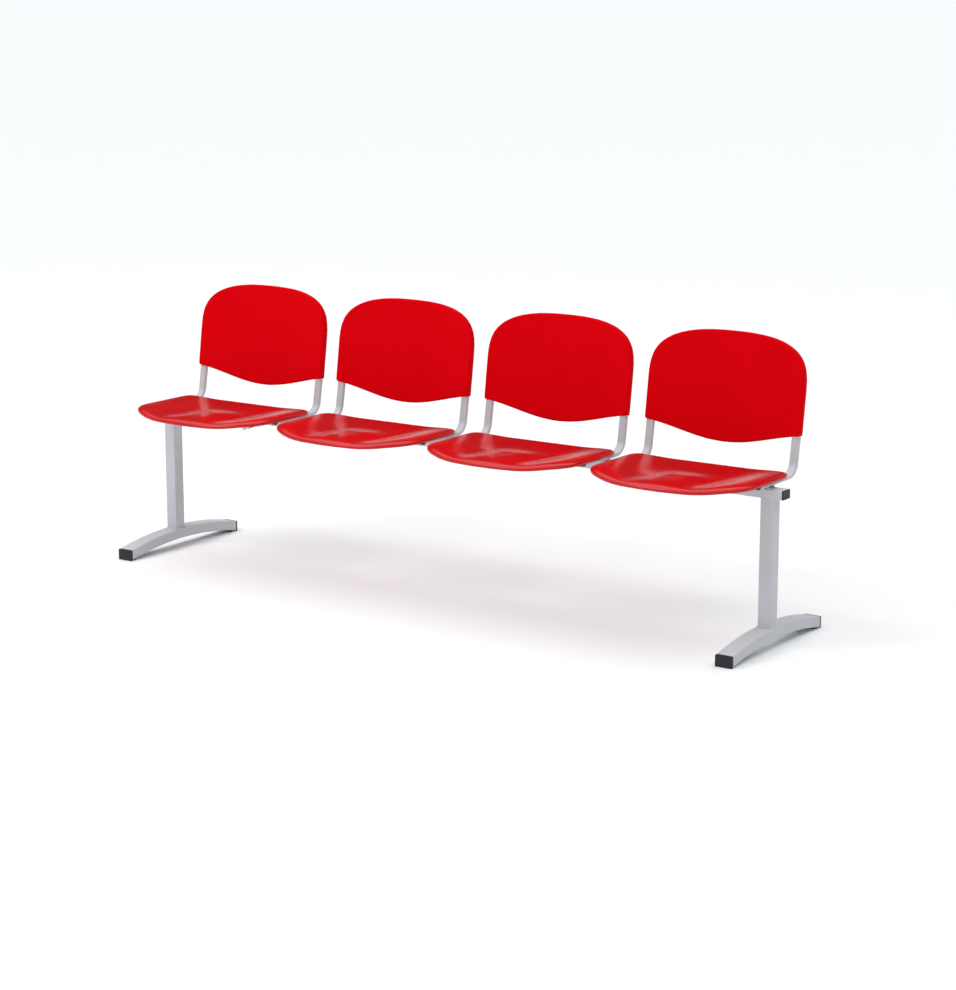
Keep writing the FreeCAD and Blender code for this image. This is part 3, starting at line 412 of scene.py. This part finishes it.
def spacedOutline(across, along, count, turnWeight):
    # points along a closed outline, even in a measure that adds its turning to its length, so
    # that they crowd where it bends
    stepAcross = np.diff(across, append=across[:1])
    stepAlong = np.diff(along, append=along[:1])
    heading = np.unwrap(np.arctan2(stepAlong, stepAcross))
    turning = np.abs(np.diff(heading, append=heading[:1] + 2 * np.pi))
    measure = np.hypot(stepAcross, stepAlong) + turnWeight * turning
    reached = np.concatenate(([0], np.cumsum(measure)))
    wanted = np.arange(count) / count * reached[-1]
    return (np.interp(wanted, reached, np.append(across, across[0])),
            np.interp(wanted, reached, np.append(along, along[0])))


def outwardNormals(across, along):
    # square to the chord between a point's two neighbours, for a counter-clockwise outline
    chordAcross = np.roll(across, -1) - np.roll(across, 1)
    chordAlong = np.roll(along, -1) - np.roll(along, 1)
    length = np.hypot(chordAcross, chordAlong)
    return chordAlong / length, -chordAcross / length


def fade(value, middle, reach):
    # falls from 1 to 0 as the value passes a slope's middle, level at both ends
    share = np.clip((value - middle + reach) / (2 * reach), 0, 1)
    return 1 - share ** 2 * (3 - 2 * share)


def shellProfile(shell, edge):
    # a moulded shell cut through its edge: (share of the way out, inset, depth below the face)
    # for each ring, from the middle of the face, over the rim, down the edge, up its inner side
    # and back along the underside
    rim, drop, lip = shell["roundOver"], shell["roundDrop"], shell["edgeRound"]
    wall, flange, fillet, taper = shell["wall"], shell["flange"], shell["fillet"], shell["taper"]
    face = [(share, rim, 0.0) for share in np.linspace(0, 1, 72)]
    turn = np.linspace(0, 90, 8)[1:] * np.pi / 180
    rounded = [(1, rim * (1 - math.sin(a)), drop * (1 - math.cos(a))) for a in turn]
    side = [(1, taper * share, drop + (edge - lip - drop) * share)
            for share in (0.25, 0.5, 0.75, 1.0)]
    bend = np.linspace(0, 90, 4)[1:] * np.pi / 180
    foot = [(1, taper + lip * (1 - math.cos(a)), edge - lip + lip * math.sin(a)) for a in bend]
    inner = [(1, 2 * taper + flange - inset, depth) for _, inset, depth in foot[::-1]]
    climb = [(1, flange + taper * share, wall + fillet + (edge - lip - wall - fillet) * share)
             for share in (1.0, 0.6, 0.3, 0.0)]
    hollow = [(1, flange + fillet * (1 - math.cos(a)), wall + fillet * (1 - math.sin(a)))
              for a in bend]
    under = [(share, flange + fillet, wall) for share in np.linspace(1, 0, 30)[1:]]
    return np.array(face + rounded + side + foot + inner + climb + hollow + under)


def shellGrid(outline, centre, profile):
    # every ring is the outline moved inwards and shrunk towards the centre
    across, along = outline
    outX, outY = outwardNormals(across, along)
    share, inset = profile[:, :1], profile[:, 1:2]
    x = centre[0] + share * (across - outX * inset - centre[0])
    y = centre[1] + share * (along - outY * inset - centre[1])
    return x, y


# Seat shells

seat = {
    "half": 239.5, "front": -238, "widest": -115, "rear": 78, "rim": 453.6,
    "frontPowers": (2.2, 2.45), "rearPower": 12.5,
    "edge": 12.5, "wall": 4, "flange": 3.5, "roundOver": 15.0, "roundDrop": 7.0,
    "taper": 0.0, "fillet": 2.0, "edgeRound": 1.2, "points": 360, "turnWeight": 25.0,
    "wearInset": 1.5, "wearWide": 3,
    "troughDeep": 15.5, "troughSide": 162, "troughSplay": 0.12, "troughSlope": 60,
    "troughRear": 0.2, "troughStart": -100,
    "pommelHigh": 9, "pommelSide": 62, "pommelRear": -55, "pommelSlope": 45,
    "lip": 13, "middle": (0, -80),
    "notchX": 220, "notchHalf": 17, "notchY": 66, "notchTop": 443.1,
    "bossX": 180, "bossY": (-62, 18), "bossLow": 430.5, "bossRadius": 8, "bossDraft": 0.6,
}


def seatHeight(x, y):
    # level rims, less a hollow with side slopes that spread rearwards, plus a rise between the
    # thighs, less a lip that falls with the cube of the way from the widest line to the front
    ahead = np.clip((seat["widest"] - y) / (seat["widest"] - seat["front"]), 0, 1)
    behind = np.clip((y - seat["troughStart"]) / (seat["rear"] - seat["troughStart"]), 0, 1)
    side = seat["troughSide"] + seat["troughSplay"] * y
    fore = 1 - ahead ** 2
    hollow = seat["troughDeep"] * fade(np.abs(x), side, seat["troughSlope"])
    hollow = hollow * fore * (1 - (1 - seat["troughRear"]) * behind ** 2)
    rise = seat["pommelHigh"] * fade(np.abs(x), seat["pommelSide"], seat["pommelSlope"])
    rise = rise * fore * fade(y, seat["pommelRear"], seat["pommelSlope"])
    return seat["rim"] - hollow + rise - seat["lip"] * ahead ** 3


def seatOutline():
    # a half ellipse in front of the widest line, and half of a squarish one behind it
    angle = np.linspace(0, 2 * np.pi, 6000, endpoint=False) + offAxis
    cosine, sine = np.cos(angle), np.sin(angle)
    isFront = sine < 0
    wide = np.where(isFront, seat["frontPowers"][0], seat["rearPower"])
    long = np.where(isFront, seat["frontPowers"][1], seat["rearPower"])
    reach = np.where(isFront, seat["widest"] - seat["front"], seat["rear"] - seat["widest"])
    across = power(cosine, 2 / wide) * seat["half"]
    along = seat["widest"] + power(sine, 2 / long) * reach
    return spacedOutline(across, along, seat["points"], seat["turnWeight"])


def wornBand(profile):
    # a bell curve of each ring's inset, strongest at the rim, for the wear there
    inset, share = profile[:, 1:2], profile[:, :1]
    band = np.exp(-((inset - seat["wearInset"]) / seat["wearWide"]) ** 2) * share
    return np.repeat(band, seat["points"], axis=1)


def seatSkin(shift):
    # the face follows the seat's height; where the edge crosses a tube, it stops above the tube
    profile = shellProfile(seat, seat["edge"])
    across, along = seatOutline()
    x, y = shellGrid((across, along), seat["middle"], profile)
    besideNotch = np.abs(np.abs(across) - seat["notchX"])
    overTube = (besideNotch < seat["notchHalf"]) & (along > seat["notchY"])
    room = seatHeight(across, along) - seat["notchTop"] - seat["wall"]
    keep = np.where(overTube, np.clip(room / (seat["edge"] - seat["wall"]), 0.02, 1), 1)
    depth = np.repeat(profile[:, 2:], x.shape[1], axis=1)
    depth = np.where(depth > seat["wall"], seat["wall"] + (depth - seat["wall"]) * keep, depth)
    z = seatHeight(x, y) - depth
    grid = np.stack((x * mm + shift, y * mm, z * mm), -1)
    return closedSkin("seat", grid, wornBand(profile))


def bossSkin(x, y, shift):
    # a round boss with a little draft, from its foot on a bar or bracket into the seat's underside
    angle = np.linspace(0, 2 * np.pi, 40, endpoint=False)
    top = float(seatHeight(np.float64(x), np.float64(y))) - seat["wall"] / 2
    low, radius, draft = seat["bossLow"], seat["bossRadius"], seat["bossDraft"]
    rings = [(0, top), (radius + draft, top), (radius + draft / 2, (top + low) / 2),
             (radius, low + draft), (radius - draft, low), (0, low)]
    grid = [np.stack((x + r * np.cos(angle), y + r * np.sin(angle), z + 0 * angle), -1)
            for r, z in rings]
    return closedSkin("boss", np.array(grid) * mm + (shift, 0, 0))


for number, middle in enumerate(seatMiddles, start=1):
    skins = [seatSkin(middle)]
    for bossSide in (-1, 1):
        for bossY in seat["bossY"]:
            skins.append(bossSkin(bossSide * seat["bossX"], bossY, middle))
    shell = joined(f"seat_{number}", skins, "seat_red")
    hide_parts(f"seat_shell_{number}")
    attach(shell, "root")
print("seat shells built")


# Back shells. Their own axes: across, rearwards, and up along the slope of the back.

back = {
    "half": 234.5, "tall": 254.6, "side": 97.2, "lobe": 41.6, "lobeSpread": 1.19,
    "crownWide": 2.56, "crownHigh": 3.46, "corner": 7.5,
    "sag": 22, "front": -10.5, "rear": 10.5, "wall": 4,
    "roundOver": 5.5, "roundDrop": 5.5, "taper": 1.0, "flange": 4, "fillet": 1.5,
    "edgeRound": 1.6, "points": 288, "turnWeight": 12.0,
    "slope": 8.2, "lineY": 128, "lineZ": 539.6, "middle": (0, 95),
    "sleeveInner": 203, "sleeveOuter": 233.2, "sleeveTop": 140, "sleeveRear": 11.5,
    "sleeveDeep": 20.0, "sleeveCorner": 3.0, "sleevePoints": 96, "sleeveGap": 1.3,
    "ribs": (70, 150), "ribThick": 2.5,
    "bite": 1.0,   # how far sleeves and ribs run into the plate
}


def lowerEdge(u):
    # one wave of a cosine, lowest in the middle of the back
    return -back["lobe"] * 0.5 * (1 + np.cos(np.pi * u / back["half"] / back["lobeSpread"]))


def backOutline():
    # the lower edge, two straight sides and a squarish crown, with the lower corners rounded
    half, corner = back["half"], back["corner"]
    low = np.linspace(-half + corner, half - corner, 800)
    bend = np.linspace(0, 1, 60)[1:-1]
    cornerLow = float(lowerEdge(half))
    start = (half - corner, float(lowerEdge(half - corner)))
    bendU = (1 - bend) ** 2 * start[0] + 2 * bend * (1 - bend) * half + bend ** 2 * half
    bendV = ((1 - bend) ** 2 * start[1] + 2 * bend * (1 - bend) * cornerLow
             + bend ** 2 * (cornerLow + corner))
    sideV = np.linspace(cornerLow + corner, back["side"], 200)[:-1]
    angle = np.linspace(0, np.pi, 3000)
    crown = back["tall"] - back["side"]
    crownU = power(np.cos(angle), 2 / back["crownWide"]) * half
    crownV = back["side"] + crown * np.sin(angle).clip(0) ** (2 / back["crownHigh"])
    u = np.concatenate((low, bendU, np.full(199, half), crownU, np.full(199, -half), -bendU[::-1]))
    v = np.concatenate((lowerEdge(low), bendV, sideV, crownV, sideV[::-1], bendV[::-1]))
    return spacedOutline(u, v, back["points"], back["turnWeight"])


def leaned(u, w, v, shift):
    # from the back's own axes to the bench's
    lean = math.radians(back["slope"])
    y = back["lineY"] + w * math.cos(lean) + v * math.sin(lean)
    z = back["lineZ"] - w * math.sin(lean) + v * math.cos(lean)
    return np.stack((u * mm + shift, y * mm, z * mm), -1)


def backCurve(u):
    # how far the face lies behind the line through its two side edges, a parabola
    return back["sag"] * (1 - (u / back["half"]) ** 2)


def backSkin(shift):
    # the face is the parabola, and each ring lies behind it by its depth
    profile = shellProfile(back, back["rear"] - back["front"])
    u, v = shellGrid(backOutline(), back["middle"], profile)
    w = backCurve(u) + back["front"] + profile[:, 2:]
    return closedSkin("back", leaned(u, w, v, shift))


def roundedBox(wide, thin, corner, count):
    # a rectangle whose corners are quarter circles
    angle = np.linspace(0, 2 * np.pi, 4000, endpoint=False) + offAxis
    cosine, sine = np.cos(angle), np.sin(angle)
    x = (wide / 2 - corner) * np.sign(cosine) + corner * cosine
    y = (thin / 2 - corner) * np.sign(sine) + corner * sine
    return spacedOutline(x, y, count, corner)


def crownHalf(v):
    # half the back's width at a height: the straight sides, then the crown
    up = np.clip((v - back["side"]) / (back["tall"] - back["side"]), 0, 1)
    return back["half"] * (1 - up ** back["crownHigh"]) ** (1 / back["crownWide"])


def sleeveSkin(side, shift):
    # a boxy sleeve round the upright: its front runs inside the back's curved plate, its foot
    # inside the rounded lower edge, and its outer side stays within the narrowing crown
    inner, outer, rear = back["sleeveInner"], back["sleeveOuter"], back["sleeveRear"]
    deep = back["sleeveDeep"]
    boxU, boxW = roundedBox(outer - inner, deep, back["sleeveCorner"], back["sleevePoints"])
    u = side * (inner + outer) / 2 + boxU
    behind = boxW / deep + 0.5
    front = backCurve(u) + back["front"] + back["wall"] - back["bite"]
    w = front + behind * (rear - front)
    depth = np.clip(w - backCurve(u) - back["front"], 0, back["roundOver"]) / back["roundOver"]
    foot = lowerEdge(u) + back["bite"] + back["roundOver"] * (1 - np.sqrt(1 - (1 - depth) ** 2))
    middleU, middleW = u.mean(), w.mean()
    levels = [(0, 0, 0), (0.97, 0, 0), (1, 0.8, 0)]
    levels += [(1, 0, share) for share in (0.1, 0.3, 0.5, 0.65, 0.75, 0.85, 0.93)]
    levels += [(1, -2.0, 1), (0.985, -0.6, 1), (0.93, 0, 1), (0, 0, 1)]
    rings = []
    for size, above, share in levels:
        v = foot + above + share * (back["sleeveTop"] - foot)
        reach = np.minimum(np.abs(u), crownHalf(v) - back["sleeveGap"]) * side
        rings.append(leaned(middleU + size * (reach - middleU), middleW + size * (w - middleW),
                            v, shift))
    return closedSkin("sleeve", np.array(rings))


def ribSkin(up, shift):
    # a thin rib right across the hollow of the back, with a rounded rear edge and some draft
    reach = back["sleeveInner"] + 2
    stations = np.linspace(-reach, reach, 90)
    start, end = back["front"] + back["wall"] - back["bite"], back["rear"]
    half = back["ribThick"] / 2
    corners = np.array([(start, -half), (start, half), (end - 1.0, half * 0.8),
                        (end - 0.3, half * 0.55), (end, 0), (end - 0.3, -half * 0.55),
                        (end - 1.0, -half * 0.8)])
    u = np.repeat(stations[:, None], len(corners), axis=1)
    w = backCurve(u) + corners[:, 0]
    v = up + half + 0 * u + corners[:, 1]
    grid = leaned(u, w, v, shift)
    return closedSkin("rib", np.concatenate((grid[:1], grid, grid[-1:])))


for number, middle in enumerate(seatMiddles, start=1):
    skins = [backSkin(middle)]
    skins += [sleeveSkin(side, middle) for side in (-1, 1)]
    skins += [ribSkin(up, middle) for up in back["ribs"]]
    shell = joined(f"back_{number}", skins, "back_red")
    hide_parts(f"back_shell_{number}")
    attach(shell, "root")
print("back shells built")


# Metal and caps keep the frame's own meshes

for row in frame["record"]["subparts"]:
    node = cadNodes[row["node"]]
    node.data.materials.clear()
    node.data.materials.append(finishes[row["material_slot"]])
print("frame finished")


# Weld beads where the posts stand on the arched feet

weld = {
    "legX": 1012, "middleY": -14, "postHalf": 19.0, "corner": 3.0,
    "footHalf": 237, "footTop": 32, "footRise": 25,
    "radius": 2.4, "ripple": 0.28, "pitch": 2.6, "out": 0.6, "lift": 0.4,
    "stations": 480, "sides": 14,
}


def footTop(y):
    # the foot's upper side is a circle's arc through its two ends and its crown
    rise, half = weld["footRise"], weld["footHalf"]
    bend = (half ** 2 + rise ** 2) / (2 * rise)
    return weld["footTop"] + rise - bend + np.sqrt(bend ** 2 - y ** 2)


def beadSkin(side):
    # a bead carried round the post's foot; its radius ripples by the size of a weld pool
    across = 2 * (weld["postHalf"] + weld["out"])
    stations = weld["stations"]
    x, y = roundedBox(across, across, weld["corner"], stations)
    outX, outY = outwardNormals(x, y)
    length = np.concatenate(([0], np.cumsum(np.hypot(np.diff(x), np.diff(y)))))
    pools = round(length[-1] / weld["pitch"])
    wave = np.abs(np.sin(np.pi * pools * np.arange(stations) / stations))
    radius = weld["radius"] - weld["ripple"] * wave
    turn = np.linspace(0, 2 * np.pi, weld["sides"], endpoint=False)[:, None]
    bead = radius * np.cos(turn)
    px = x + outX * bead + side * weld["legX"]
    py = y + outY * bead + weld["middleY"]
    pz = footTop(y + weld["middleY"]) + weld["lift"] + radius * np.sin(turn)
    return closedRing("bead", np.stack((px, py, pz), -1) * mm)


for word, side in (("left", -1), ("right", 1)):
    bead = joined(f"weld_{word}", [beadSkin(side)], "frame_silver")
    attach(bead, "root")
print("welds built")


# Floor

floorMesh = bpy.data.meshes.new("studioFloor")
reach = studio["floorHalf"]
floorCorners = [(-reach, -reach, 0), (reach, -reach, 0), (reach, reach, 0), (-reach, reach, 0)]
floorMesh.from_pydata(floorCorners, [], [(0, 1, 2, 3)])
floorMesh.materials.append(paleFloor())
floor = bpy.data.objects.new("studioFloor", floorMesh)
bpy.context.scene.collection.objects.link(floor)
print("floor laid")
